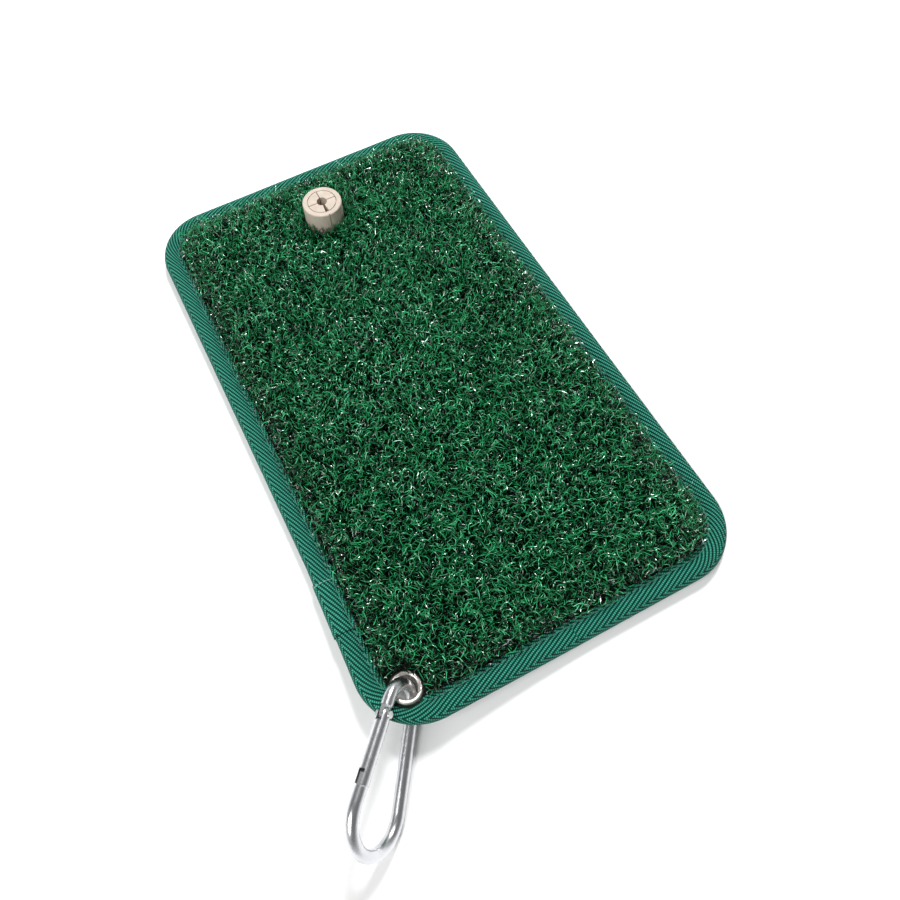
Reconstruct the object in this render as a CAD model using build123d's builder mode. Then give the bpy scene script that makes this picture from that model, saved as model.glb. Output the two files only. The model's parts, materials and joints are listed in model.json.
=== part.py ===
from build123d import *
import math
import os

# Golf hitting mat: a short strip of artificial turf on a foam pad, bound all round with folded
# tape, with a rubber tee holder near the far edge and a carabiner hung in an eyelet at the near
# left corner. Millimetres, +Z up, origin on the floor under the middle of the mat.

# Mat outline and layers
mat_width = 160.0
mat_length = 270.0
corner_radius = 25.0
flare_start_y = -60.0
flare = 2.4
flare_radius = 300.0
pad_top = 4.0
backing_top = 5.2
pile_top = 15.5
pile_shoulder = 3.0

# Binding tape, folded round the edge
binding_height = 7.4
binding_cover = 8.5
tape = 0.9
binding_rounding = 3.0
cavity_rounding = 2.1
binding_fit = 0.3

# Thread lines along the tape's inner edge
thread_inset = 7.6
thread_width = 0.5
thread_height = 0.35

# Overlap where the tape's end is folded over its start
lap_thickness = 0.7
lap_near_y = -92.0
lap_far_y = -68.0
lap_cover = 8.5

# The near left corner curls up off the floor: the mat follows an arc beyond a line across it
curl_start = 80.0
curl_radius = 250.0
curl_arc = 18.0
reach = 200.0

# Eyelet
eyelet_x = -65.4
eyelet_y = -119.5
eyelet_bore_radius = 4.3
barrel_radius = 4.75
flange_radius = 6.5
flange_half_height = 2.15
grip_up = 0.85
grip_down = 1.0
washer_thickness = 0.45
rolled_lip_radius = 5.4
parted_radius = 10.0

# Tee holder
holder_x = -1.0
holder_y = 93.2
holder_radius = 9.2
holder_top = 24.0
holder_base = 2.6
holder_flange_radius = 17.0
holder_cup_radius = 6.9
holder_cup_floor = 5.0
holder_rounding = 0.6
groove_width = 0.35
groove_depth = 0.6
socket_radius = 2.4
socket_floor = 6.5
slit_width = 0.4
slit_depth = 6.0
vee_width = 2.0
seam_width = 0.35
seam_depth = 0.6

# Carabiner: a round rod bent into a pear shaped loop, in its own tilted plane
rod_radius = 2.4
top_bend = 7.81
bottom_bend = 12.74
bend_distance = 35.65
loop_x = -69.86
loop_y = -124.06
loop_z = 10.37
loop_heading = 39.7
loop_slope = -4.8
loop_tilt = 58.1

# Carabiner gate, measured down the gate leg from the end of the top bend
shoulder_at = 2.95
gate_radius = 2.6
hinge_at = 5.9
gate_end_at = 29.8
nose_shoulder_at = 30.3
nose_tip_at = 26.0
nose_slot_at = 25.0
tongue_half = 0.9
tongue_radius = 1.9
nose_outer = 1.7
nose_inner = 1.3
slot_half = 1.2
slot_wall = 1.6
rivet_radius = 0.8
rivet_play = 0.05
rivet_head_radius = 1.3
rivet_seat = 2.25
rivet_end = 2.95
spring_bore_radius = 1.3
spring_end_at = 20.0
plunger_radius = 1.25
plunger_from = 8.1
plunger_to = 11.3
spring_outer = 1.2
spring_inner = 0.8
slot_end_at = 8.8

os.makedirs("parts", exist_ok=True)

up = Vector(0, 0, 1)
curl_out = Vector(-1, -1, 0).normalized()
curl_across = curl_out.cross(up)
curl_line = curl_out * curl_start
curl_axis = Axis(curl_line + up * curl_radius, curl_across)

# Where the eyelet sits on the curled corner
eyelet_middle = binding_height / 2
eyelet_out = Vector(eyelet_x, eyelet_y, 0).dot(curl_out) - curl_start
eyelet_lean = math.asin(eyelet_out / (curl_radius - eyelet_middle))
eyelet_z = curl_radius - (curl_radius - eyelet_middle) * math.cos(eyelet_lean)
eyelet_axis = up * math.cos(eyelet_lean) - curl_out * math.sin(eyelet_lean)
eyelet_plane = Plane(origin=(eyelet_x, eyelet_y, eyelet_z), x_dir=curl_across, z_dir=eyelet_axis)

# The carabiner's plane: x to the spine side, y towards the eyelet
heading = math.radians(loop_heading)
slope = math.radians(loop_slope)
loop_up = Vector(
    math.sin(heading) * math.cos(slope), math.cos(heading) * math.cos(slope), math.sin(slope)
)
level_side = loop_up.cross(up).normalized()
loop_side = level_side.rotate(Axis((0, 0, 0), loop_up), loop_tilt)
loop_plane = Plane(
    origin=(loop_x, loop_y, loop_z), x_dir=loop_side, z_dir=loop_side.cross(loop_up)
)
leg_lean = math.asin((bottom_bend - top_bend) / bend_distance)
leg_length = bend_distance * math.cos(leg_lean)
leg_degrees = math.degrees(leg_lean)
leg_top = Vector(-top_bend * math.cos(leg_lean), top_bend * math.sin(leg_lean))
leg_down = Vector(-math.sin(leg_lean), -math.cos(leg_lean))
leg_outward = Vector(-math.cos(leg_lean), math.sin(leg_lean))


def on_leg(along, outward=0.0):
    """A point on the gate leg, so far down it and so far to its outer side."""
    return leg_top + leg_down * along + leg_outward * outward


# The gate leg's own plane: x down the leg, z the same as the loop's
leg_plane = Plane(
    origin=loop_plane.from_local_coords(leg_top),
    x_dir=loop_plane.from_local_coords(on_leg(1.0)) - loop_plane.from_local_coords(leg_top),
    z_dir=loop_plane.z_dir,
)
hinge_plane = Plane(
    origin=loop_plane.from_local_coords(on_leg(hinge_at)), x_dir=leg_plane.x_dir, z_dir=leg_plane.z_dir
)
leg_section = Plane(origin=leg_plane.origin, x_dir=leg_plane.z_dir, z_dir=leg_plane.x_dir)


def mat_layer(bottom, top, inset, rounding=0.0):
    """A layer of the mat between two heights, set in from its outline, with the curled corner."""
    with BuildPart() as layer:
        with BuildSketch(Plane(origin=(0, 0, bottom), x_dir=curl_out, z_dir=(0, 0, 1))):
            with Locations((curl_start - reach, 0)):
                Rectangle(2 * reach, 2 * reach)
        extrude(amount=top - bottom)
        with BuildSketch(Plane(origin=curl_line, x_dir=-curl_across, z_dir=curl_out)):
            with Locations((0, (bottom + top) / 2)):
                Rectangle(2 * reach, top - bottom)
        revolve(axis=curl_axis, revolution_arc=curl_arc)
        with BuildSketch(Plane.XY.offset(-reach)):
            with BuildLine():
                FilletPolyline(
                    (mat_width / 2, -mat_length / 2),
                    (mat_width / 2, mat_length / 2),
                    (-mat_width / 2, mat_length / 2),
                    (-mat_width / 2, flare_start_y),
                    (-mat_width / 2 - flare, -mat_length / 2),
                    radius=(corner_radius, corner_radius, corner_radius, flare_radius, corner_radius),
                    close=True,
                )
            make_face()
            if inset:
                offset(amount=-inset, mode=Mode.REPLACE)
        extrude(amount=2 * reach, mode=Mode.INTERSECT)
        if rounding:
            fillet(rim_edges(layer), rounding)
    return layer.part


def rim_edges(layer):
    """The edges round a layer's top and bottom, without the corner lines and the curl line."""
    rims = []
    for edge in layer.edges():
        middle = edge @ 0.5
        on_curl_line = abs(middle.dot(curl_out) - curl_start) < 0.01
        if abs((edge % 0.5).Z) < 0.8 and not on_curl_line:
            rims.append(edge)
    return rims


def rim_layer(bottom, top):
    """A layer that fills the tape's fold between two heights."""
    with BuildPart() as layer:
        add(mat_layer(tape, binding_height - tape, tape, cavity_rounding))
        add(mat_layer(bottom, top, 0), mode=Mode.INTERSECT)
    return layer.part


# Room in the mat for the eyelet: the barrel's hole and the pockets its flanges press in
with BuildPart() as eyelet_room:
    with BuildSketch(eyelet_plane.offset(-corner_radius)):
        Circle(barrel_radius)
    extrude(amount=2 * corner_radius)
    with BuildSketch(eyelet_plane.offset(grip_up)):
        Circle(flange_radius)
    extrude(amount=corner_radius)
    with BuildSketch(eyelet_plane.offset(-corner_radius)):
        Circle(flange_radius)
    extrude(amount=corner_radius - grip_down)

# The turf parts round the rod where it dips into the eyelet
with BuildPart() as rod_room:
    with BuildSketch(eyelet_plane.offset(grip_up)):
        Circle(parted_radius)
    extrude(amount=corner_radius)

# Room in the mat for the tee holder: its flange under the backing and its stem above
with BuildPart() as holder_room:
    with BuildSketch(Plane.XY.offset(holder_base)):
        with Locations((holder_x, holder_y)):
            Circle(holder_flange_radius)
    extrude(amount=pad_top - holder_base)
    with BuildSketch(Plane.XY.offset(pad_top)):
        with Locations((holder_x, holder_y)):
            Circle(holder_radius)
    extrude(amount=holder_top)

# Foam pad, thinner at the rim where the tape passes under it
with BuildPart() as foam_pad:
    add(mat_layer(0, pad_top, binding_cover + binding_fit))
    add(rim_layer(tape, pad_top))
    add(eyelet_room.part, mode=Mode.SUBTRACT)
    add(holder_room.part, mode=Mode.SUBTRACT)
foam_pad.part.label = "foam_pad"
export_step(foam_pad.part, "parts/foam_pad.step")

# Woven backing that holds the turf
with BuildPart() as turf_backing:
    add(rim_layer(pad_top, backing_top))
    add(eyelet_room.part, mode=Mode.SUBTRACT)
    add(holder_room.part, mode=Mode.SUBTRACT)
turf_backing.part.label = "turf_backing"
export_step(turf_backing.part, "parts/turf_backing.step")

# Turf pile: full height inside the tape, crushed flat under it
with BuildPart() as turf_pile:
    add(mat_layer(backing_top, pile_top - pile_shoulder, binding_cover + binding_fit))
    add(mat_layer(backing_top, pile_top, binding_cover + binding_fit + pile_shoulder))
    add(rod_room.part, mode=Mode.SUBTRACT)
    add(rim_layer(backing_top, binding_height - tape))
    add(eyelet_room.part, mode=Mode.SUBTRACT)
    add(holder_room.part, mode=Mode.SUBTRACT)
turf_pile.part.label = "turf_pile"
export_step(turf_pile.part, "parts/turf_pile.step")

# Binding tape, a U section folded round the whole edge
with BuildPart() as edge_binding:
    add(mat_layer(0, binding_height, 0, binding_rounding))
    add(mat_layer(tape, binding_height - tape, tape, cavity_rounding), mode=Mode.SUBTRACT)
    add(mat_layer(-tape, binding_height + tape, binding_cover), mode=Mode.SUBTRACT)
    add(mat_layer(0, thread_height, thread_inset), mode=Mode.SUBTRACT)
    add(eyelet_room.part, mode=Mode.SUBTRACT)
edge_binding.part.label = "edge_binding"
export_step(edge_binding.part, "parts/edge_binding.step")

# Thread lines that hold the tape: one on top, one sunk in the underside
with BuildPart() as needle_thread:
    add(mat_layer(binding_height, binding_height + thread_height, thread_inset))
    add(
        mat_layer(binding_height - tape, binding_height + tape, thread_inset + thread_width),
        mode=Mode.SUBTRACT,
    )
    add(rod_room.part, mode=Mode.SUBTRACT)
needle_thread.part.label = "needle_thread"
export_step(needle_thread.part, "parts/needle_thread.step")

with BuildPart() as bobbin_thread:
    add(mat_layer(0, thread_height, thread_inset))
    add(mat_layer(-tape, tape, thread_inset + thread_width), mode=Mode.SUBTRACT)
    add(eyelet_room.part, mode=Mode.SUBTRACT)
bobbin_thread.part.label = "bobbin_thread"
export_step(bobbin_thread.part, "parts/bobbin_thread.step")

# The tape's end, lapped over its start on the left side
with BuildPart() as binding_lap:
    add(mat_layer(0, binding_height + lap_thickness, -lap_thickness, binding_rounding))
    add(mat_layer(0, binding_height, 0, binding_rounding), mode=Mode.SUBTRACT)
    add(mat_layer(-tape, binding_height + 2 * tape, lap_cover), mode=Mode.SUBTRACT)
    with BuildSketch(Plane.XY):
        with Locations((-mat_width / 2, (lap_near_y + lap_far_y) / 2)):
            Rectangle(mat_width / 2, lap_far_y - lap_near_y)
    extrude(amount=reach, mode=Mode.INTERSECT)
    add(needle_thread.part, mode=Mode.SUBTRACT)
binding_lap.part.label = "binding_lap"
export_step(binding_lap.part, "parts/binding_lap.step")

# Eyelet: a barrel with a domed flange on top and its end rolled over a washer below
eyelet_section = Plane(
    origin=eyelet_plane.origin, x_dir=eyelet_plane.x_dir, z_dir=-eyelet_plane.y_dir
)
dome_middle = (eyelet_bore_radius + flange_radius) / 2
lip_middle = (eyelet_bore_radius + rolled_lip_radius) / 2
eyelet_line = Axis(eyelet_plane.origin, eyelet_plane.z_dir)
with BuildPart() as eyelet_body:
    with BuildSketch(eyelet_section):
        with BuildLine():
            Polyline(
                (eyelet_bore_radius, grip_up + washer_thickness),
                (eyelet_bore_radius, -grip_down - washer_thickness),
            )
            ThreePointArc(
                (eyelet_bore_radius, -grip_down - washer_thickness),
                (lip_middle, -flange_half_height),
                (rolled_lip_radius, -grip_down - washer_thickness),
            )
            Polyline(
                (rolled_lip_radius, -grip_down - washer_thickness),
                (barrel_radius, -grip_down - washer_thickness),
                (barrel_radius, grip_up),
                (flange_radius, grip_up),
                (flange_radius, grip_up + washer_thickness),
            )
            ThreePointArc(
                (flange_radius, grip_up + washer_thickness),
                (dome_middle, flange_half_height),
                (eyelet_bore_radius, grip_up + washer_thickness),
            )
        make_face()
    revolve(axis=eyelet_line)
eyelet_body.part.label = "eyelet_body"
export_step(eyelet_body.part, "parts/eyelet_body.step")

with BuildPart() as eyelet_washer:
    with BuildSketch(eyelet_plane.offset(-grip_down - washer_thickness)):
        Circle(flange_radius)
        Circle(barrel_radius, mode=Mode.SUBTRACT)
    extrude(amount=washer_thickness)
eyelet_washer.part.label = "eyelet_washer"
export_step(eyelet_washer.part, "parts/eyelet_washer.step")

# Tee holder: a rubber cup whose wide flange is trapped between the pad and the backing
with BuildPart() as tee_holder:
    with BuildSketch(Plane.XY.offset(holder_base)):
        with Locations((holder_x, holder_y)):
            Circle(holder_flange_radius)
    extrude(amount=pad_top - holder_base)
    with BuildSketch(Plane.XY.offset(holder_base)):
        with Locations((holder_x, holder_y)):
            Circle(holder_radius)
    extrude(amount=holder_top - holder_base)
    holder_rim = tee_holder.edges().filter_by(GeomType.CIRCLE).group_by(Axis.Z)[-1]
    fillet(holder_rim, holder_rounding)
    with BuildSketch(Plane.XY.offset(holder_cup_floor)):
        with Locations((holder_x, holder_y)):
            Circle(holder_cup_radius)
    extrude(amount=holder_top, mode=Mode.SUBTRACT)
    with BuildSketch(Plane.XY.offset(pad_top)):
        with Locations((holder_x, holder_y - holder_radius)):
            Rectangle(seam_width, 2 * seam_depth)
    extrude(amount=holder_top, mode=Mode.SUBTRACT)
tee_holder.part.label = "tee_holder"
export_step(tee_holder.part, "parts/tee_holder.step")

# Gripping plug inside the cup, slit across so that it spreads round the tee's shank
with BuildPart() as tee_plug:
    with BuildSketch(Plane.XY.offset(holder_cup_floor)):
        with Locations((holder_x, holder_y)):
            Circle(holder_cup_radius)
    extrude(amount=holder_top - holder_cup_floor)
    with BuildSketch(Plane.XY.offset(holder_top - groove_depth)):
        with Locations((holder_x, holder_y)):
            Circle(holder_cup_radius)
            Circle(holder_cup_radius - groove_width, mode=Mode.SUBTRACT)
    extrude(amount=groove_depth, mode=Mode.SUBTRACT)
    with BuildSketch(Plane.XY.offset(holder_top - slit_depth)):
        with Locations((holder_x, holder_y)):
            Rectangle(2 * (holder_cup_radius - groove_width), slit_width)
        with Locations((holder_x, holder_y + holder_cup_radius / 2)):
            Rectangle(slit_width, holder_cup_radius - groove_width)
        with BuildLine():
            Polyline(
                (holder_x - slit_width / 2, holder_y),
                (holder_x + slit_width / 2, holder_y),
                (holder_x + vee_width / 2, holder_y - holder_cup_radius + groove_width),
                (holder_x - vee_width / 2, holder_y - holder_cup_radius + groove_width),
                close=True,
            )
        make_face()
    extrude(amount=slit_depth, mode=Mode.SUBTRACT)
    with BuildSketch(Plane.XY.offset(socket_floor)):
        with Locations((holder_x, holder_y)):
            Circle(socket_radius)
    extrude(amount=holder_top - socket_floor, mode=Mode.SUBTRACT)
tee_plug.part.label = "tee_plug"
export_step(tee_plug.part, "parts/tee_plug.step")

# Carabiner body: the rod from the gate's shoulder round the eyelet end, down the spine and
# round the far end to the nose, with a flat tongue at each end
spine_top = Vector(-leg_top.X, leg_top.Y)
leg_foot = on_leg(leg_length)
spine_foot = Vector(-leg_foot.X, leg_foot.Y)
with BuildLine(loop_plane) as rod_path:
    Line(on_leg(shoulder_at), on_leg(0))
    ThreePointArc(on_leg(0), Vector(0, top_bend), spine_top)
    Line(spine_top, spine_foot)
    ThreePointArc(spine_foot, Vector(0, -bend_distance - bottom_bend), leg_foot)
    Line(leg_foot, on_leg(nose_shoulder_at))
with BuildPart() as carabiner_body:
    with BuildSketch(leg_section.offset(shoulder_at)):
        Circle(rod_radius)
    sweep(path=loop_plane.from_local_coords(rod_path.line))
    with BuildSketch(leg_plane):
        with Locations((shoulder_at + (hinge_at - shoulder_at) / 2 - tongue_half / 2, 0)):
            Rectangle(hinge_at - shoulder_at + tongue_half, 2 * tongue_radius)
        with Locations((hinge_at, 0)):
            Circle(tongue_radius)
            Circle(rivet_radius + rivet_play, mode=Mode.SUBTRACT)
    extrude(amount=tongue_half, both=True)
    with BuildSketch(leg_plane):
        with Locations(((nose_tip_at + nose_shoulder_at + tongue_half) / 2, (nose_inner - nose_outer) / 2)):
            Rectangle(nose_shoulder_at + tongue_half - nose_tip_at, nose_inner + nose_outer)
    extrude(amount=tongue_half, both=True)
carabiner_body.part.label = "carabiner_body"
export_step(carabiner_body.part, "parts/carabiner_body.step")

# Gate: a round bar slotted at both ends, drilled down its middle for the spring
with BuildPart() as carabiner_gate:
    with BuildSketch(leg_section.offset(hinge_at)):
        Circle(gate_radius)
    extrude(amount=gate_end_at - hinge_at)
    with BuildSketch(hinge_plane):
        with BuildLine():
            Line((-gate_radius, 0), (gate_radius, 0))
            ThreePointArc((gate_radius, 0), (0, gate_radius), (-gate_radius, 0))
        make_face()
    revolve(axis=Axis(hinge_plane.origin, hinge_plane.x_dir))
    with BuildSketch(leg_plane):
        with Locations((slot_end_at / 2, 0)):
            Rectangle(slot_end_at, 4 * gate_radius)
    extrude(amount=slot_half, both=True, mode=Mode.SUBTRACT)
    with BuildSketch(leg_plane):
        with Locations(((nose_slot_at + leg_length) / 2, slot_wall - 2 * gate_radius)):
            Rectangle(leg_length - nose_slot_at, 4 * gate_radius)
    extrude(amount=slot_half, both=True, mode=Mode.SUBTRACT)
    with BuildSketch(leg_section.offset(hinge_at)):
        Circle(spring_bore_radius)
    extrude(amount=spring_end_at - hinge_at, mode=Mode.SUBTRACT)
    with BuildSketch(hinge_plane):
        Circle(rivet_radius)
    extrude(amount=gate_radius, both=True, mode=Mode.SUBTRACT)
    for seat in (rivet_seat, -gate_radius - rivet_seat):
        with BuildSketch(hinge_plane.offset(seat)):
            Circle(rivet_head_radius)
        extrude(amount=gate_radius, mode=Mode.SUBTRACT)
carabiner_gate.part.label = "carabiner_gate"
export_step(carabiner_gate.part, "parts/carabiner_gate.step")

# Rivet that the gate turns on
with BuildPart() as gate_rivet:
    with BuildSketch(hinge_plane):
        Circle(rivet_radius)
    extrude(amount=rivet_seat, both=True)
    for seat in (rivet_seat, -rivet_end):
        with BuildSketch(hinge_plane.offset(seat)):
            Circle(rivet_head_radius)
        extrude(amount=rivet_end - rivet_seat)
gate_rivet.part.label = "gate_rivet"
export_step(gate_rivet.part, "parts/gate_rivet.step")

# Plunger that the spring presses against the hinge tongue
with BuildPart() as spring_plunger:
    with BuildSketch(leg_section.offset(plunger_from)):
        Circle(plunger_radius)
    extrude(amount=plunger_to - plunger_from)
spring_plunger.part.label = "spring_plunger"
export_step(spring_plunger.part, "parts/spring_plunger.step")

# Gate spring, its outer shape inside the gate's bore
with BuildPart() as gate_spring:
    with BuildSketch(leg_section.offset(plunger_to)):
        Circle(spring_outer)
        Circle(spring_inner, mode=Mode.SUBTRACT)
    extrude(amount=spring_end_at - plunger_to)
gate_spring.part.label = "gate_spring"
export_step(gate_spring.part, "parts/gate_spring.step")
print("hinge pin at", hinge_plane.origin, "along", hinge_plane.z_dir)
print("eyelet at", eyelet_plane.origin, "axis", eyelet_plane.z_dir)
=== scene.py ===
import json
import math

import bpy
import numpy as np
from mathutils import Matrix, Vector
from mathutils.kdtree import KDTree


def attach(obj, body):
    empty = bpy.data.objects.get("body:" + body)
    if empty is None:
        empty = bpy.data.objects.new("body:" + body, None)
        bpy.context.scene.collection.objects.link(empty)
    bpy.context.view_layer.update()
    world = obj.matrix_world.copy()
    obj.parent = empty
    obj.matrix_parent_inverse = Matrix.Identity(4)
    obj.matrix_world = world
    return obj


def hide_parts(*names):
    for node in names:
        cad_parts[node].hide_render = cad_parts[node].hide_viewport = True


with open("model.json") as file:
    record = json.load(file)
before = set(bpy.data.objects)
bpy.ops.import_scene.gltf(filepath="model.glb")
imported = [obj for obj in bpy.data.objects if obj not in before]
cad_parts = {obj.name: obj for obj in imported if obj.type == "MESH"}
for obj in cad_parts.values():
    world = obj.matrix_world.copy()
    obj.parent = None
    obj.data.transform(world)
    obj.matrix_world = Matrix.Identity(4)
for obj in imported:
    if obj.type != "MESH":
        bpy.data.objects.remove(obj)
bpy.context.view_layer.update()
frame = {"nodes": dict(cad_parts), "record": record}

MM = 0.001

# Mat, in millimetres, as in the CAD model: half its sides and its corners' radius
HALF_X, HALF_Y, CORNER = 80.0, 135.0, 25.0
# The near left corner's curl: where it starts along the diagonal, its radius and its direction
CURL_START, CURL_RADIUS = 80.0, 250.0
CURL_OUT = np.array((-1.0, -1.0)) / math.sqrt(2.0)
# Heights of the backing's top, where blades start, and of the tallest blades
PILE_BASE, PILE_TIP = 5.25, 15.6
# How far the left side runs out at its near end, and where that starts along and across
FLARE, FLARE_FROM, FLARE_INNER = 2.4, -60.0, -30.0
# Middle of the eyelet once the left side is flared, and of the tee holder
EYELET_FLARED = (-65.4, -119.5)
HOLDER = np.array((-1.0, 93.2))
# The eyelet's flange presses the mat flat within the first radius and frees it at the second
FLANGE_RADIUS, FREE_RADIUS = 6.3, 8.6
PRESSED_LOW, PRESSED_TOP, LOOSE_RISE = 2.8, 4.45, 3.2
# Where the tape's end starts and stops along the left edge
LAP_NEAR, LAP_FAR = -92.0, -68.0
# Above this height a point of the tape is on the mat's top side
TOP_SIDE = 3.7
# Tape: points across its fold, how far the lap stands off, its wavering and its thickness
FOLD_POINTS, LAP_GROW = 44, 0.5
WAVER_SEED, SIDE_WAVER, LIFT_WAVER = 11, 0.10, 0.07
TAPE_THICKNESS = 0.45
# Blades: how far from the rim they start, and the gap they keep from the tee holder's middle
TAPE_COVER, HOLDER_CLEAR = 8.8, 9.45
# Blades nearer to the swinging rod than this are left out
ROD_CLEAR = 1.1


def smooth(a, b, x):
    """0 below a, 1 above b, with an eased rise between them."""
    t = np.clip((x - a) / (b - a), 0.0, 1.0)
    return t * t * (3.0 - 2.0 * t)


def flare_shift(x, y):
    """How far the mat's left side runs out towards its near corner."""
    along = np.clip((FLARE_FROM - y) / (HALF_Y + FLARE_FROM), 0.0, 1.0)
    return FLARE * along * np.clip((FLARE_INNER - x) / (HALF_X + FLARE_INNER), 0.0, 1.0)


# The eyelet's place on the mat before the flare is put on
EYELET = np.array(EYELET_FLARED) + (flare_shift(*EYELET_FLARED), 0.0)


def curled(p):
    """Points of the flat mat, in millimetres, flared along its left side and lifted where its
    near left corner curls up."""
    p = np.array(p, dtype=float)
    p[:, 0] -= flare_shift(p[:, 0], p[:, 1])
    s = np.maximum(p[:, :2] @ CURL_OUT - CURL_START, 0.0)
    r = CURL_RADIUS - p[:, 2]
    p[:, 2] = CURL_RADIUS - np.sqrt(r * r - s * s)
    return p


def rim(step):
    """Points and outward normals along the mat's outline, starting at the middle of the near
    edge and going left, with the distance along it."""
    corners = [(-1, -1, 270, 180), (-1, 1, 180, 90), (1, 1, 90, 0), (1, -1, 0, -90)]
    pts, nor = [], []
    at = np.array((0.0, -HALF_Y))

    def straight(start, end, normal):
        count = max(2, int(np.linalg.norm(end - start) / step))
        for i in range(count):
            pts.append(start + (end - start) * i / count)
            nor.append(normal)

    for sx, sy, a0, a1 in corners:
        c = np.array((sx * (HALF_X - CORNER), sy * (HALF_Y - CORNER)))
        n0 = np.array((math.cos(math.radians(a0)), math.sin(math.radians(a0))))
        straight(at, c + CORNER * n0, n0)
        count = max(4, int(CORNER * math.pi / 2 / step))
        for i in range(count):
            a = math.radians(a0 + (a1 - a0) * i / count)
            n = np.array((math.cos(a), math.sin(a)))
            pts.append(c + CORNER * n)
            nor.append(n)
        n1 = np.array((math.cos(math.radians(a1)), math.sin(math.radians(a1))))
        at = c + CORNER * n1
    straight(at, np.array((0.0, -HALF_Y)), np.array((0.0, -1.0)))
    pts, nor = np.array(pts), np.array(nor)
    along = np.concatenate(([0.0], np.cumsum(np.linalg.norm(np.diff(pts, axis=0), axis=1))))
    return pts, nor, along


def place_piece(name, mesh, material):
    """An object of the mat's body, with its material and slot."""
    ob = bpy.data.objects.new(name, mesh)
    bpy.context.collection.objects.link(ob)
    mesh.materials.append(material)
    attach(ob, "mat")
    return ob


def new_piece(name, verts, faces, material):
    """A smooth mesh of the mat's body from points in millimetres."""
    mesh = bpy.data.meshes.new(name)
    points = [tuple(v) for v in np.asarray(verts) * MM]
    mesh.from_pydata(points, [], [tuple(int(i) for i in f) for f in faces])
    mesh.update()
    mesh.polygons.foreach_set("use_smooth", [True] * len(mesh.polygons))
    return place_piece(name, mesh, material)


# ---------------------------------------------------------------- materials
class Mat:
    """A material's node tree with short calls for its nodes."""

    def __init__(self, name, rough, metal=0.0, **sockets):
        self.mat = bpy.data.materials.new(name)
        self.mat.use_nodes = True
        self.tree = self.mat.node_tree
        self.shader = self.tree.nodes["Principled BSDF"]
        self.shader.inputs["Roughness"].default_value = rough
        self.shader.inputs["Metallic"].default_value = metal
        for key, value in sockets.items():
            self.shader.inputs[key.replace("_", " ")].default_value = value

    def node(self, kind, inputs=(), **props):
        n = self.tree.nodes.new(kind)
        for key, value in props.items():
            setattr(n, key, value)
        for key, value in dict(inputs).items():
            if hasattr(value, "is_output"):
                self.tree.links.new(value, n.inputs[key])
            else:
                n.inputs[key].default_value = value
        return n

    def math(self, op, a, b=0.0):
        return self.node("ShaderNodeMath", {0: a, 1: b}, operation=op).outputs[0]

    def ramp(self, fac, *stops):
        n = self.node("ShaderNodeValToRGB", {"Fac": fac})
        els = n.color_ramp.elements
        while len(els) < len(stops):
            els.new(0.5)
        for el, (pos, col) in zip(els, stops):
            el.position = pos
            el.color = (*col, 1.0)
        return n.outputs["Color"]

    def mix(self, fac, a, b, mode="MIX"):
        n = self.node("ShaderNodeMix", data_type="RGBA", blend_type=mode)
        for key, value in ((0, fac), (6, a), (7, b)):
            if hasattr(value, "is_output"):
                self.tree.links.new(value, n.inputs[key])
            elif key == 0:
                n.inputs[key].default_value = value
            else:
                n.inputs[key].default_value = (*value, 1.0)
        return n.outputs[2]

    def noise(self, scale, detail=3.0, rough=0.55, vector=None):
        ins = {"Scale": scale, "Detail": detail, "Roughness": rough}
        if vector is not None:
            ins["Vector"] = vector
        return self.node("ShaderNodeTexNoise", ins).outputs["Fac"]

    def attribute(self, name):
        return self.node("ShaderNodeAttribute", attribute_name=name).outputs["Fac"]

    def bands(self, scale, direction, vector, distortion=0.0):
        ins = {"Scale": scale, "Distortion": distortion, "Vector": vector}
        return self.node("ShaderNodeTexWave", ins, bands_direction=direction).outputs["Fac"]

    def stretched(self, vector, scale, rotation=(0.0, 0.0, 0.0)):
        ins = {"Vector": vector, "Rotation": rotation, "Scale": scale}
        return self.node("ShaderNodeMapping", ins).outputs[0]

    def place(self):
        return self.node("ShaderNodeTexCoord").outputs["Object"]

    def colour(self, value):
        self.tree.links.new(value, self.shader.inputs["Base Color"])

    def rough(self, value):
        self.tree.links.new(value, self.shader.inputs["Roughness"])

    def spread(self, value, low, high):
        ins = {"Value": value, "To Min": low, "To Max": high}
        return self.node("ShaderNodeMapRange", ins).outputs[0]

    def bump(self, height, distance, strength=1.0):
        ins = {"Height": height, "Distance": distance, "Strength": strength}
        out = self.node("ShaderNodeBump", ins).outputs[0]
        self.tree.links.new(out, self.shader.inputs["Normal"])


def turf_material():
    """Glossy blades, each of its own tone, with painted shade darkening them towards their roots.
    """
    m = Mat("turf blades", 0.18, Specular_IOR_Level=0.85)
    blade = m.ramp(
        m.attribute("tone"),
        (0.0, (0.002, 0.060, 0.018)),
        (0.35, (0.009, 0.240, 0.074)),
        (0.75, (0.036, 0.500, 0.185)),
        (1.0, (0.200, 0.850, 0.500)),
    )
    # Painted shade: the lower part of each blade is multiplied down to near black, standing in for
    # the shade deep in the pile
    painted_root_shade = m.ramp(
        m.attribute("along"),
        (0.70, (0.002, 0.003, 0.002)),
        (0.82, (0.18, 0.18, 0.18)),
        (0.91, (1.0, 1.0, 1.0)),
    )
    patch = m.noise(55.0, 2.0, vector=m.place())
    shade = m.mix(1.0, blade, painted_root_shade, "MULTIPLY")
    m.colour(m.mix(m.spread(patch, 0.0, 0.15), shade, (0.002, 0.06, 0.02)))
    grain = m.noise(2600.0, 2.0, vector=m.place())
    m.rough(m.spread(grain, 0.12, 0.24))
    m.bump(grain, 0.00004, 0.5)
    return m.mat


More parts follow.
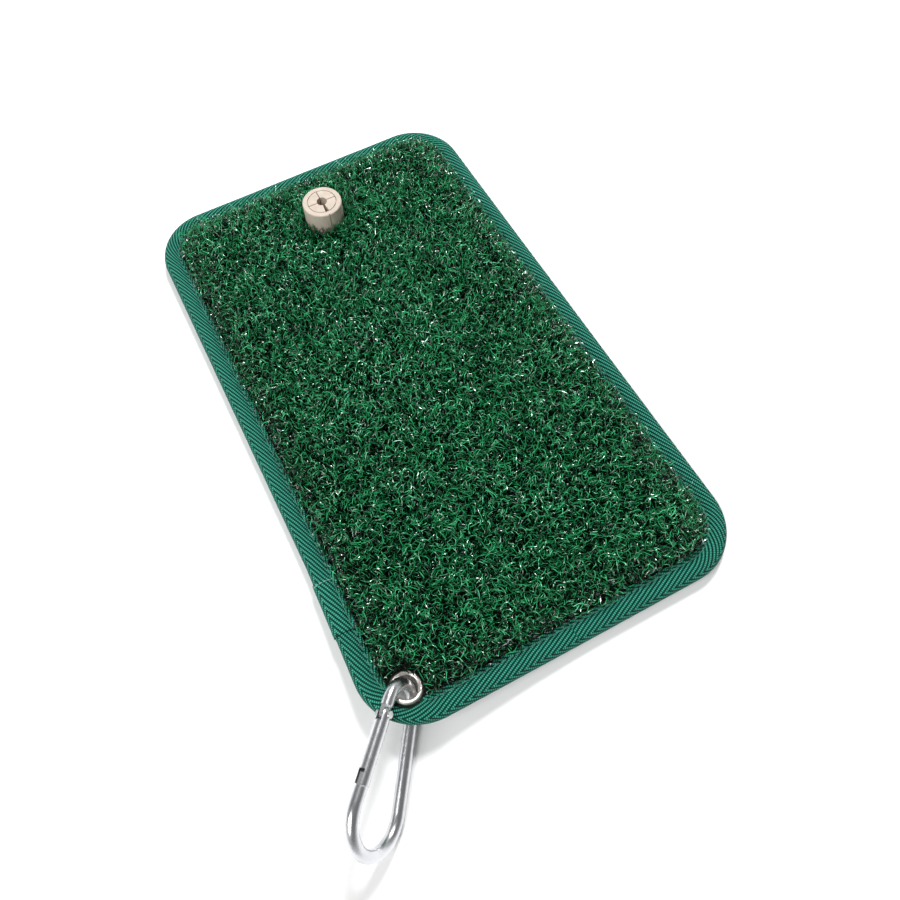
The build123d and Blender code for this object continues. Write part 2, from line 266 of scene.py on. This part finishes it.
def tape_material(name, bright=1.0):
    """Herringbone twill: ribs at a shallow angle to the tape's length that turn back in bands,
    each rib made of short beads of yarn."""
    band_width, rib_pitch, bead_pitch, slant = 7.0, 1.4, 0.85, math.radians(25.0)
    m = Mat(name, 0.62, Specular_IOR_Level=0.08, Sheen_Weight=0.02, Sheen_Roughness=0.4)

    def mixed_uv(by_fold, by_u):
        return m.math("ADD", m.math("MULTIPLY", fold, by_fold), m.math("MULTIPLY", u, by_u))

    def humps(value):
        return m.math("ABSOLUTE", m.math("SINE", m.math("MULTIPLY", value, math.pi)))

    uv = m.node("ShaderNodeSeparateXYZ", {0: m.node("ShaderNodeUVMap", uv_map="tape").outputs[0]})
    u, v = uv.outputs[0], uv.outputs[1]
    wobble = m.math("SUBTRACT", m.noise(140.0, 2.0, vector=m.place()), 0.5)
    wobble = m.math("MULTIPLY", wobble, 0.5)
    fold = m.math("PINGPONG", m.math("ADD", v, -1.5), band_width)
    across = mixed_uv(math.cos(slant), -math.sin(slant))
    across = m.math("DIVIDE", m.math("ADD", across, wobble), rib_pitch)
    along = mixed_uv(math.sin(slant), math.cos(slant))
    rib = humps(across)
    shift = m.math("MULTIPLY", m.math("FLOOR", across), 0.37)
    bead = humps(m.math("ADD", m.math("DIVIDE", along, bead_pitch), shift))
    beads = m.math("ADD", m.math("MULTIPLY", m.math("POWER", bead, 0.7), 0.6), 0.4)
    height = m.math("MULTIPLY", m.math("POWER", rib, 0.75), beads)
    fibre = m.noise(3800.0, 2.0, vector=m.place())
    height = m.math("ADD", height, m.math("MULTIPLY", fibre, 0.12))

    def lit(*colour):
        return tuple(c * bright for c in colour)

    # Painted light: the colour follows the relief, near black in the grooves between ribs as
    # painted shade and bright on the bead crowns as painted highlight
    painted_relief_light = m.ramp(
        height,
        (0.24, lit(0.0001, 0.003, 0.002)),
        (0.52, lit(0.0020, 0.055, 0.035)),
        (0.80, lit(0.009, 0.150, 0.100)),
        (1.0, lit(0.070, 0.370, 0.280)),
    )
    worn = m.noise(60.0, 3.0, vector=m.place())
    m.colour(m.mix(m.spread(worn, 0.0, 0.12), painted_relief_light, lit(0.006, 0.11, 0.072)))
    m.rough(m.spread(fibre, 0.5, 0.75))
    m.bump(height, 0.0004, 1.0)
    return m.mat


def thread_material(name, low, high):
    """Twisted sewing thread, with painted shade between its strands and lighter strand crowns."""
    m = Mat(name, 0.5, Sheen_Weight=0.2)
    p = m.place()
    twist = m.bands(900.0, "DIAGONAL", p, 1.5)
    # Painted shade: darker where the twist is low between strands, lighter on the raised strands
    m.colour(m.ramp(twist, (0.1, low), (0.9, high)))
    m.rough(m.spread(m.noise(1500.0, vector=p), 0.4, 0.65))
    m.bump(twist, 0.00008, 0.7)
    return m.mat


def foam_material():
    """Black foam with its cells in the gloss and the relief."""
    m = Mat("closed cell foam", 0.85, Specular_IOR_Level=0.3)
    p = m.place()
    cells = m.node("ShaderNodeTexVoronoi", {"Scale": 1100.0, "Vector": p}, feature="F1")
    cells = cells.outputs["Distance"]
    mottle = m.spread(m.noise(90.0, 3.0, vector=p), 0.0, 0.5)
    m.colour(m.mix(mottle, (0.014, 0.014, 0.015), (0.030, 0.030, 0.032)))
    m.rough(m.spread(cells, 0.7, 0.95))
    m.bump(cells, 0.00012, 0.8)
    return m.mat


def backing_material():
    """Coated weave: two crossing sets of bands."""
    m = Mat("woven backing", 0.9, Specular_IOR_Level=0.2)
    p = m.place()
    weave = m.math("MULTIPLY", m.bands(320.0, "X", p), m.bands(320.0, "Y", p))
    # Painted shade: the weave's hollows are coloured darker and its raised crossings lighter
    m.colour(m.ramp(weave, (0.0, (0.0012, 0.004, 0.002)), (1.0, (0.004, 0.018, 0.009))))
    m.rough(m.spread(m.noise(700.0, vector=p), 0.8, 0.98))
    m.bump(weave, 0.0002, 0.7)
    return m.mat


def metal_material(name, low, high, rough_low, rough_high, grain, relief):
    """Bare or plated metal with fine drawn scratches and slightly uneven gloss."""
    m = Mat(name, rough_low, metal=1.0)
    p = m.place()
    turned = m.stretched(p, (1.0, 0.06, 1.0), (0.0, 0.1, -0.7))
    drawn = m.noise(grain, 4.0, 0.65, turned)
    cloud = m.noise(160.0, 3.0, 0.5, p)
    m.colour(m.mix(cloud, low, high))
    mixed = m.math("ADD", m.math("MULTIPLY", drawn, 0.6), m.math("MULTIPLY", cloud, 0.4))
    m.rough(m.spread(mixed, rough_low, rough_high))
    m.bump(drawn, relief, 0.6)
    return m.mat


def holder_material():
    """Pale rubber with a faint mottle and a fine, darker speckle."""
    m = Mat(
        "pale rubber", 0.62, Specular_IOR_Level=0.35, Subsurface_Weight=0.06, Subsurface_Scale=0.001
    )
    p = m.place()
    streak = m.noise(260.0, 4.0, 0.6, m.stretched(p, (1.0, 1.0, 0.25)))
    speck = m.noise(2200.0, 2.0, 0.6, p)
    body = m.ramp(
        streak,
        (0.25, (0.44, 0.37, 0.305)),
        (0.55, (0.53, 0.455, 0.385)),
        (0.8, (0.60, 0.525, 0.45)),
    )
    m.colour(m.mix(m.spread(speck, 0.0, 0.35), body, (0.42, 0.35, 0.28)))
    m.rough(m.spread(streak, 0.52, 0.72))
    relief = m.math("ADD", m.math("MULTIPLY", streak, 0.6), m.math("MULTIPLY", speck, 0.4))
    m.bump(relief, 0.00012, 0.6)
    return m.mat


turf = turf_material()
twill = tape_material("herringbone twill")
# The lapped end: a copy of the twill painted 8 % lighter, as painted light on the raised end
twill_lap = tape_material("herringbone twill, lapped end", 1.08)
seam = thread_material("seam thread", (0.010, 0.120, 0.075), (0.050, 0.270, 0.190))
foam = foam_material()
backing = backing_material()
aluminium = metal_material(
    "satin aluminium", (0.58, 0.59, 0.61), (0.74, 0.75, 0.77), 0.18, 0.34, 900.0, 0.00002
)
nickel = metal_material(
    "bright nickel", (0.70, 0.655, 0.60), (0.88, 0.83, 0.78), 0.30, 0.46, 600.0, 0.00001
)
steel = metal_material(
    "rivet steel", (0.60, 0.60, 0.60), (0.74, 0.74, 0.74), 0.22, 0.38, 900.0, 0.00002
)
rubber = holder_material()

for node, material in {
    "turf_backing": backing,
    "eyelet_body": nickel,
    "eyelet_washer": nickel,
    "tee_holder": rubber,
    "tee_plug": rubber,
    "carabiner_body": aluminium,
    "carabiner_gate": aluminium,
    "gate_rivet": steel,
    "spring_plunger": steel,
    "gate_spring": steel,
}.items():
    ob = frame["nodes"][node]
    if not ob.material_slots:
        raise SystemExit(f"{node} has no material slot")
    for material_slot in ob.material_slots:
        material_slot.material = material

# ---------------------------------------------------------------- binding tape
# The fold's section from the top's inner edge round the rim to the underside: inset and height
FOLD = np.array(
    (
        (9.3, 6.9), (8.8, 6.55), (8.2, 6.05), (7.75, 5.95), (7.2, 6.2), (6.4, 6.7), (5.4, 7.1),
        (4.4, 7.35), (3.4, 7.4), (2.4, 7.2), (1.5, 6.75), (0.8, 6.05), (0.3, 5.1), (0.0, 4.1),
        (0.0, 3.1), (0.3, 2.1), (0.85, 1.2), (1.6, 0.55), (2.5, 0.2), (3.6, 0.08), (5.0, 0.05),
        (6.6, 0.05), (7.4, 0.12), (7.8, 0.3), (8.3, 0.12), (9.2, 0.1),
    )
)


def section(grow=0.0):
    """The fold resampled evenly, grown outwards, with the distance across the tape."""
    d = np.concatenate(([0.0], np.cumsum(np.linalg.norm(np.diff(FOLD, axis=0), axis=1))))
    at = np.linspace(0.0, d[-1], FOLD_POINTS)
    p = np.column_stack((np.interp(at, d, FOLD[:, 0]), np.interp(at, d, FOLD[:, 1])))
    t = np.gradient(p, axis=0)
    t /= np.linalg.norm(t, axis=1)[:, None]
    p = p + np.column_stack((t[:, 1], -t[:, 0])) * grow
    return p, at


def waver(u, seed, size, length):
    """A smooth closed waviness along the rim."""
    rng = np.random.default_rng(seed)
    out = np.zeros_like(u)
    for k in (3, 5, 8, 13, 21, 34):
        amount, phase = rng.normal(), rng.uniform(0, 6.28)
        out += amount * np.sin(2 * math.pi * k * u / length + phase) / math.sqrt(k)
    return out * size


def press_eyelet(p):
    """The mat squeezed flat under the eyelet's flanges, before it is curled."""
    d = np.linalg.norm(p[:, :2] - EYELET, axis=1)
    free = smooth(FLANGE_RADIUS, FREE_RADIUS, d)
    top = PRESSED_TOP + LOOSE_RISE * free
    low = PRESSED_LOW - PRESSED_LOW * free
    p[:, 2] = np.clip(p[:, 2], low, top)
    return p, d


def tape_strip(name, material, u_from, u_to, grow, closed):
    """The folded tape along part of the rim, or all round it, with its whole length and width."""
    open_radius = 4.9
    pts, nor, along = rim(1.0)
    total = along[-1] + np.linalg.norm(pts[0] - pts[-1])
    sec, v = section(grow)
    keep = (along >= u_from) & (along <= u_to)
    pts, nor, along = pts[keep], nor[keep], along[keep]
    n, m = len(pts), len(sec)
    side = waver(along, WAVER_SEED, SIDE_WAVER, total)
    lift = waver(along, WAVER_SEED + 1, LIFT_WAVER, total)
    verts = np.zeros((n, m, 3))
    for j in range(m):
        inset = sec[j, 0] + side * min(1.0, sec[j, 0] / 3.0)
        verts[:, j, :2] = pts - nor * inset[:, None]
        verts[:, j, 2] = sec[j, 1] + np.where(sec[j, 1] > TOP_SIDE, lift, 0.0)
    flat, near = press_eyelet(verts.reshape(-1, 3))
    faces, rows = [], n if closed else n - 1
    for i in range(rows):
        k = (i + 1) % n
        for j in range(m - 1):
            f = (i * m + j, k * m + j, k * m + j + 1, i * m + j + 1)
            if min(near[q] for q in f) > open_radius:
                faces.append(f)
    ob = new_piece(name, curled(flat), faces, material)
    mesh = ob.data
    uv = mesh.uv_layers.new(name="tape")
    where = np.zeros(len(mesh.loops) * 2)
    for poly in mesh.polygons:
        corners = [mesh.loops[l].vertex_index for l in poly.loop_indices]
        wraps = closed and max(corners) - min(corners) > 3 * m
        for l, corner in zip(poly.loop_indices, corners):
            i, j = divmod(corner, m)
            uu = along[i] + (total if wraps and i < n / 2 else 0.0)
            where[2 * l], where[2 * l + 1] = uu, v[j]
    uv.data.foreach_set("uv", where)
    thick = ob.modifiers.new("thickness", "SOLIDIFY")
    thick.thickness = TAPE_THICKNESS * MM
    thick.offset = -1.0
    return ob, total, v[-1]


tape, rim_length, tape_width = tape_strip("binding_tape", twill, -1, 1e9, 0.0, True)
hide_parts("edge_binding")

# The lap lies on the left edge, after the near left corner
left_start = HALF_X - CORNER + CORNER * math.pi / 2
lap_from = left_start + (LAP_NEAR + HALF_Y - CORNER)
lap_to = left_start + (LAP_FAR + HALF_Y - CORNER)
lap, _, lap_width = tape_strip("lapped_tape_end", twill_lap, lap_from, lap_to, LAP_GROW, False)
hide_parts("binding_lap")


# ---------------------------------------------------------------- seams
def stitches(name, starts, ends, radius, sag, material):
    """One mesh of short round stitches, each bowed a little and pointed where it dives in."""
    sides, rings = 6, 7
    starts, ends = np.asarray(starts, float), np.asarray(ends, float)
    n = len(starts)
    run = ends - starts
    size = np.linalg.norm(run, axis=1)[:, None]
    d = run / size
    up = np.tile(np.array((0.0, 0.0, 1.0)), (n, 1))
    a = np.cross(d, up)
    a /= np.linalg.norm(a, axis=1)[:, None]
    b = np.cross(a, d)
    verts = np.zeros((n, rings, sides, 3))
    for i in range(rings):
        t = i / (rings - 1)
        c = starts + run * t
        c = c + up * (sag * (math.sin(math.pi * t) - 0.55))
        r = radius * (0.45 + 0.55 * max(0.0, math.sin(math.pi * t)) ** 0.5)
        for k in range(sides):
            ang = 2 * math.pi * k / sides
            verts[:, i, k] = c + (a * math.cos(ang) + b * math.sin(ang)) * r
    faces = []
    for s in range(n):
        o = s * rings * sides
        for i in range(rings - 1):
            for k in range(sides):
                q = (k + 1) % sides
                low, high = o + i * sides, o + (i + 1) * sides
                faces.append((low + k, low + q, high + q, high + k))
        faces.append(tuple(o + k for k in reversed(range(sides))))
        faces.append(tuple(o + (rings - 1) * sides + k for k in range(sides)))
    return new_piece(name, verts.reshape(-1, 3), faces, material)


def seam_points(inset, height, stitch, gap):
    """Both ends of each stitch of the seam round the rim, with none under the eyelet."""
    lap_rise, clear_of_eyelet, unevenness = 0.45, 8.2, 0.06
    pts, nor, along = rim(0.5)
    total = along[-1] + np.linalg.norm(pts[0] - pts[-1])
    count = int(total / (stitch + gap))
    rng = np.random.default_rng(5)
    side = waver(along, WAVER_SEED, SIDE_WAVER, total)
    line = pts - nor * (inset + side)[:, None]
    starts, ends = [], []
    for k in range(count):
        ends_at = []
        for u in (k * total / count, k * total / count + stitch):
            w = u % total
            x = np.interp(w, along, line[:, 0])
            y = np.interp(w, along, line[:, 1])
            lapped = LAP_NEAR < y < LAP_FAR and x < 0 and height > TOP_SIDE
            ends_at.append((x, y, height + lap_rise if lapped else height))
        mid = (np.array(ends_at[0]) + ends_at[1]) / 2
        if np.linalg.norm(mid[:2] - EYELET) < clear_of_eyelet:
            continue
        jog = rng.normal(0, unevenness, 2)
        starts.append((ends_at[0][0] + jog[0], ends_at[0][1] + jog[1], ends_at[0][2]))
        ends.append(ends_at[1])
    return curled(starts), curled(ends)


top_a, top_b = seam_points(7.75, 6.12, 2.5, 0.55)
needle = stitches("needle_seam", top_a, top_b, 0.26, 0.16, seam)
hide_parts("needle_thread")
low_a, low_b = seam_points(7.8, 0.36, 2.6, 0.45)
bobbin = stitches("bobbin_seam", low_a, low_b, 0.18, -0.05, seam)
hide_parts("bobbin_thread")

# One row across the lapped end holds it down
fold, _ = section(LAP_GROW)
crown = fold[fold[:, 1] > 4.4]
row = [crown[i] for i in np.linspace(2, len(crown) - 1, 7).astype(int)]
row_y, row_rise = LAP_FAR - 1.2, 0.3
row_a = curled([(-HALF_X + a[0], row_y, a[1] + row_rise) for a in row[:-1]])
row_b = curled(
    [(-HALF_X + 0.8 * b[0] + 0.2 * a[0], row_y, b[1] + row_rise) for a, b in zip(row, row[1:])]
)
lap_seam = thread_material("lap thread", (0.06, 0.28, 0.20), (0.22, 0.50, 0.42))
stitches("lap_stitches", row_a, row_b, 0.30, 0.12, lap_seam)

# ---------------------------------------------------------------- foam pad
def pad_ring(inset, height):
    """Points round the pad at one inset and height, the same number on every ring."""
    per_side, per_end, per_corner = 14, 24, 10
    hx, hy, r = HALF_X - inset, HALF_Y - inset, max(CORNER - inset, 1.0)
    out = []
    signs = ((1, -1), (1, 1), (-1, 1), (-1, -1))
    for k, (sx, sy) in enumerate(signs):
        a0 = 90.0 * (k - 1)
        c = np.array((sx * (hx - r), sy * (hy - r)))
        for i in range(per_corner + 1):
            a = math.radians(a0 + 90.0 * i / per_corner)
            out.append(c + r * np.array((math.cos(a), math.sin(a))))
        count = per_end if sx == -sy else per_side
        here = out[-1]
        next_x, next_y = signs[(k + 1) % 4]
        c = np.array((next_x * (hx - r), next_y * (hy - r)))
        a = math.radians(a0 + 90.0)
        there = c + r * np.array((math.cos(a), math.sin(a)))
        for i in range(1, count):
            out.append(here + (there - here) * i / count)
    out = np.array(out)
    return np.column_stack((out, np.full(len(out), height)))


# Insets of the rings across the pad's faces, then each ring's inset and height, top to bottom
INSETS = (13.0, 18.0, 25.0, 33.0, 42.0, 52.0, 62.0, 71.0, 78.0)
rings = [(i, 3.95) for i in reversed(INSETS)]
rings += [(8.0, 3.95), (1.3, 3.95), (1.3, 0.6), (8.4, 0.6), (8.9, 0.12), (9.6, 0.0)]
rings += [(i, 0.0) for i in INSETS]
verts = np.concatenate([pad_ring(i, h) for i, h in rings])
size = len(pad_ring(1.3, 0.0))
waves = sum(
    np.sin(verts[:, 0] * a + verts[:, 1] * b + c)
    for a, b, c in ((0.11, 0.07, 0.3), (-0.06, 0.13, 1.9), (0.17, -0.1, 4.0))
)
inner = verts[:, 2] < 0.05
verts[inner, 2] += 0.10 + 0.033 * waves[inner]
d = np.linalg.norm(verts[:, :2] - EYELET, axis=1)
free = smooth(FLANGE_RADIUS, FREE_RADIUS, d)
verts[:, 2] = np.maximum(verts[:, 2], PRESSED_LOW - PRESSED_LOW * free)
faces = []
for k in range(len(rings) - 1):
    for i in range(size):
        j = (i + 1) % size
        f = (k * size + j, k * size + i, (k + 1) * size + i, (k + 1) * size + j)
        if min(d[q] for q in f) > 4.6:
            faces.append(f)
faces.append([(len(rings) - 1) * size + i for i in reversed(range(size))])
faces.append(list(range(size)))
pad = new_piece("foam_underlay", curled(verts), faces, foam)
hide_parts("foam_pad")


# ---------------------------------------------------------------- turf
def from_edge(x, y):
    """How far inside the mat's outline a point is."""
    qx, qy = np.abs(x) - (HALF_X - CORNER), np.abs(y) - (HALF_Y - CORNER)
    away = np.hypot(np.maximum(qx, 0), np.maximum(qy, 0)) + np.minimum(np.maximum(qx, qy), 0)
    return CORNER - away


def inward(x, y):
    """The direction that leads away from the mat's outline."""
    dx = from_edge(x + 0.01, y) - from_edge(x - 0.01, y)
    dy = from_edge(x, y + 0.01) - from_edge(x, y - 0.01)
    size = np.maximum(np.hypot(dx, dy), 1e-9)
    return dx / size, dy / size


def swept_rod():
    """The carabiner body's points near the eyelet, in millimetres, all through its swing."""
    near, steps = 0.03, 9
    joints = frame["record"]["behaviour"]["joints"]
    joint = next(j for j in joints if j["name"] == "carabiner_swing")
    body = frame["nodes"]["carabiner_body"].data
    centre, axis = Vector(joint["pos_m"]), Vector(joint["axis"])
    points = []
    for degrees in np.linspace(*joint["range_deg"], steps):
        turn = Matrix.Rotation(math.radians(degrees), 3, axis)
        for v in body.vertices:
            if (v.co - centre).length < near:
                points.append((centre + turn @ (v.co - centre)) / MM)
    tree = KDTree(len(points))
    for i, point in enumerate(points):
        tree.insert(point, i)
    tree.balance()
    return tree


def make_turf(count, seed):
    """Crimped blades: each one rises, then wanders sideways as it leans over."""
    rng = np.random.default_rng(seed)
    segs = 7
    row_points = 2 * (segs + 1)
    x = rng.uniform(-HALF_X + 8.4, HALF_X - 8.4, count * 2)
    y = rng.uniform(-HALF_Y + 8.4, HALF_Y - 8.4, count * 2)
    crowd = int(count * 0.014)
    turn, out = rng.uniform(0, 2 * math.pi, crowd), rng.uniform(9.6, 12.5, crowd)
    x[:crowd], y[:crowd] = HOLDER[0] + out * np.cos(turn), HOLDER[1] + out * np.sin(turn)
    inset = from_edge(x, y)
    to_eyelet = np.hypot(x - EYELET[0], y - EYELET[1])
    to_holder = np.hypot(x - HOLDER[0], y - HOLDER[1])
    keep = (inset > TAPE_COVER) & (to_eyelet > 6.7) & (to_holder > 9.5)
    x, y, inset = x[keep][:count], y[keep][:count], inset[keep][:count]
    to_eyelet, to_holder = to_eyelet[keep][:count], to_holder[keep][:count]
    n = len(x)
    heading = rng.uniform(0, 2 * math.pi, n)
    loose, held = 1.15, 0.4
    wander = np.full(n, loose)
    slope_x, slope_y = inward(x, y)
    inwards = np.arctan2(slope_y, slope_x) + rng.uniform(-1.3, 1.3, n)
    guided = (inset < 12.5) & (rng.uniform(0, 1, n) < 0.88)
    heading = np.where(guided, inwards, heading)
    wander = np.where(guided, held, wander)
    for centre, dist, reach in ((EYELET, to_eyelet, 10.0), (HOLDER, to_holder, 12.5)):
        away = np.arctan2(y - centre[1], x - centre[0]) + rng.uniform(-1.4, 1.4, n)
        guided = (dist < reach) & (rng.uniform(0, 1, n) < 0.97)
        heading = np.where(guided, away, heading)
        wander = np.where(guided, held, wander)
    upright = np.where(to_holder < 12.5, 0.45, 1.0)
    length = np.clip(rng.normal(11.5, 2.0, n), 6.5, 16.5)
    lean0 = np.abs(rng.normal(0.0, 0.30, n))
    lean1 = rng.uniform(0.9, 2.3, n) * upright
    power = rng.uniform(0.9, 2.2, n)
    tip = PILE_TIP - 7.0 * (1.0 - smooth(8.0, 19.0, inset))
    tip = tip - 4.0 * (1.0 - smooth(7.0, 12.0, to_eyelet))
    tip = tip + 3.0 * (1.0 - smooth(9.5, 14.0, to_holder))
    tall = rng.uniform(0, 1, n) < np.where(to_holder < 13.0, 0.8, 0.55)
    share = np.where(tall, rng.uniform(0.86, 1.05, n), rng.uniform(0.45, 0.84, n))
    high = (tip - PILE_BASE) * share
    p = np.zeros((n, segs + 1, 3))
    dirs = np.zeros((n, segs + 1, 3))
    p[:, 0] = np.column_stack((x, y, np.zeros(n)))
    for k in range(segs + 1):
        t = k / segs
        lean = lean0 + (lean1 - lean0) * t ** power + rng.normal(0.0, 0.6, n) * min(1, k)
        heading = heading + rng.normal(0.0, 1.0, n) * wander * min(1, k)
        flat = np.sin(lean)
        dirs[:, k] = np.column_stack((flat * np.cos(heading), flat * np.sin(heading), np.cos(lean)))
        if k:
            p[:, k] = p[:, k - 1] + (dirs[:, k] + dirs[:, k - 1]) / 2 * (length / segs)[:, None]
    top = p[:, :, 2].max(axis=1)
    squeeze = high / np.maximum(top, 0.1)
    p[:, :, 2] *= squeeze[:, None]
    p[:, :, 2] = np.maximum(p[:, :, 2], 0.0) + PILE_BASE
    reach_x, reach_y = p[:, :, 0] - HOLDER[0], p[:, :, 1] - HOLDER[1]
    apart = np.maximum(np.hypot(reach_x, reach_y), 1e-6)
    push = np.maximum(HOLDER_CLEAR - apart, 0.0) / apart
    p[:, :, 0] += reach_x * push
    p[:, :, 1] += reach_y * push
    limit = TAPE_COVER - rng.exponential(0.35, n)[:, None]
    over_tape = np.maximum(limit - from_edge(p[:, :, 0], p[:, :, 1]), 0.0)
    nx, ny = inward(p[:, :, 0], p[:, :, 1])
    p[:, :, 0] += nx * over_tape
    p[:, :, 1] += ny * over_tape
    side = np.cross(dirs, np.array((0.0, 0.0, 1.0)))
    side /= np.maximum(np.linalg.norm(side, axis=2), 1e-6)[:, :, None]
    level = np.linspace(0, 1, segs + 1)
    roll = rng.normal(0.0, 0.6, n)[:, None] + rng.normal(0.0, 0.9, n)[:, None] * level[None]
    over = np.cross(side, dirs)
    side = side * np.cos(roll)[:, :, None] + over * np.sin(roll)[:, :, None]
    width = rng.uniform(0.22, 0.34, n)
    taper = np.interp(level, (0, 0.55, 0.9, 1.0), (0.9, 1.0, 0.8, 0.35))
    half = side * (width[:, None] * taper[None] / 2)[:, :, None]
    verts = curled(np.stack((p - half, p + half), axis=2).reshape(-1, 3))
    verts = verts.reshape(n, row_points, 3)
    # Blades in the way of the carabiner's rod are left out
    rod = swept_rod()
    free = np.ones(n, dtype=bool)
    for i in np.flatnonzero(to_eyelet < 20.0):
        free[i] = min(rod.find(v)[2] for v in verts[i]) > ROD_CLEAR
    verts = verts[free].reshape(-1, 3) * MM
    p, tip, n = p[free], tip[free], int(free.sum())
    row = np.arange(segs)
    quad = np.stack((2 * row, 2 * row + 1, 2 * row + 3, 2 * row + 2), axis=1)
    faces = (quad[None] + (np.arange(n) * row_points)[:, None, None]).reshape(-1)
    total = n * segs
    mesh = bpy.data.meshes.new("turf_blades")
    mesh.vertices.add(len(verts))
    mesh.vertices.foreach_set("co", verts.reshape(-1))
    mesh.loops.add(len(faces))
    mesh.loops.foreach_set("vertex_index", faces.astype(np.int32))
    mesh.polygons.add(total)
    mesh.polygons.foreach_set("loop_start", np.arange(0, total * 4, 4, dtype=np.int32))
    mesh.polygons.foreach_set("use_smooth", np.ones(total, dtype=bool))
    mesh.update(calc_edges=True)
    mesh.validate()
    tone = np.repeat(np.clip(rng.beta(1.8, 2.6, n), 0, 1), row_points)
    along = np.clip((p[:, :, 2] - PILE_BASE) / (tip - PILE_BASE)[:, None], 0, 1)
    for name, values in (("tone", tone), ("along", np.repeat(along.reshape(-1), 2))):
        layer = mesh.attributes.new(name, "FLOAT", "POINT")
        layer.data.foreach_set("value", values.astype(np.float32))
    return place_piece("turf_blades", mesh, turf)


blades = make_turf(88000, 21)
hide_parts("turf_pile")

# ---------------------------------------------------------------- floor, light, camera
floor_mesh = bpy.data.meshes.new("floor")
FLOOR = 6
corners = [(-FLOOR, -FLOOR, 0), (FLOOR, -FLOOR, 0), (FLOOR, FLOOR, 0), (-FLOOR, FLOOR, 0)]
floor_mesh.from_pydata(corners, [], [(0, 1, 2, 3)])
floor = bpy.data.objects.new("floor", floor_mesh)
bpy.context.collection.objects.link(floor)
pale = Mat("pale floor", 0.8, Specular_IOR_Level=0.1)
pale.shader.inputs["Base Color"].default_value = (0.93, 0.93, 0.93, 1.0)
floor_mesh.materials.append(pale.mat)


def lamp(name, place, size, power):
    """A round area lamp that points at the mat's middle."""
    data = bpy.data.lights.new(name, "AREA")
    data.shape = "DISK"
    data.size, data.energy = size, power
    ob = bpy.data.objects.new(name, data)
    ob.location = place
    ob.rotation_euler = (-Vector(place)).to_track_quat("-Z", "Y").to_euler()
    bpy.context.collection.objects.link(ob)


lamp("key", (0.45, 0.60, 0.95), 0.30, 16.0)
lamp("fill", (-0.75, -0.25, 0.85), 0.7, 10.0)
# A pale grey studio, dimmer overhead
world = bpy.data.worlds.new("studio")
bpy.context.scene.world = world
world.use_nodes = True
world_nodes, world_links = world.node_tree.nodes, world.node_tree.links
direction = world_nodes.new("ShaderNodeTexCoord").outputs["Generated"]
split = world_nodes.new("ShaderNodeSeparateXYZ")
world_links.new(direction, split.inputs[0])
sky = world_nodes.new("ShaderNodeValToRGB")
for element, place, shade in zip(sky.color_ramp.elements, (0.10, 0.45), (0.70, 0.20)):
    element.position = place
    element.color = (shade, shade, shade, 1.0)
world_links.new(split.outputs["Z"], sky.inputs["Fac"])
world_links.new(sky.outputs["Color"], world_nodes["Background"].inputs["Color"])
bpy.context.scene.view_settings.view_transform = "Standard"

heading, tilt, roll = math.radians(22.2), math.radians(90 - 68.24), math.radians(-5.3)
camera = bpy.data.cameras.new("camera")
camera.sensor_width, camera.lens = 36.0, 25.96
camera.shift_x, camera.shift_y = 0.0426, 0.0494
camera.clip_start = 0.01
view = bpy.data.objects.new("camera", camera)
turn = Matrix.Rotation(-heading, 4, "Z") @ Matrix.Rotation(tilt, 4, "X")
turn = turn @ Matrix.Rotation(roll, 4, "Z")
view.matrix_world = Matrix.Translation((-0.06593, -0.14345, 0.25458)) @ turn
bpy.context.collection.objects.link(view)
bpy.context.scene.camera = view

bpy.context.view_layer.update()
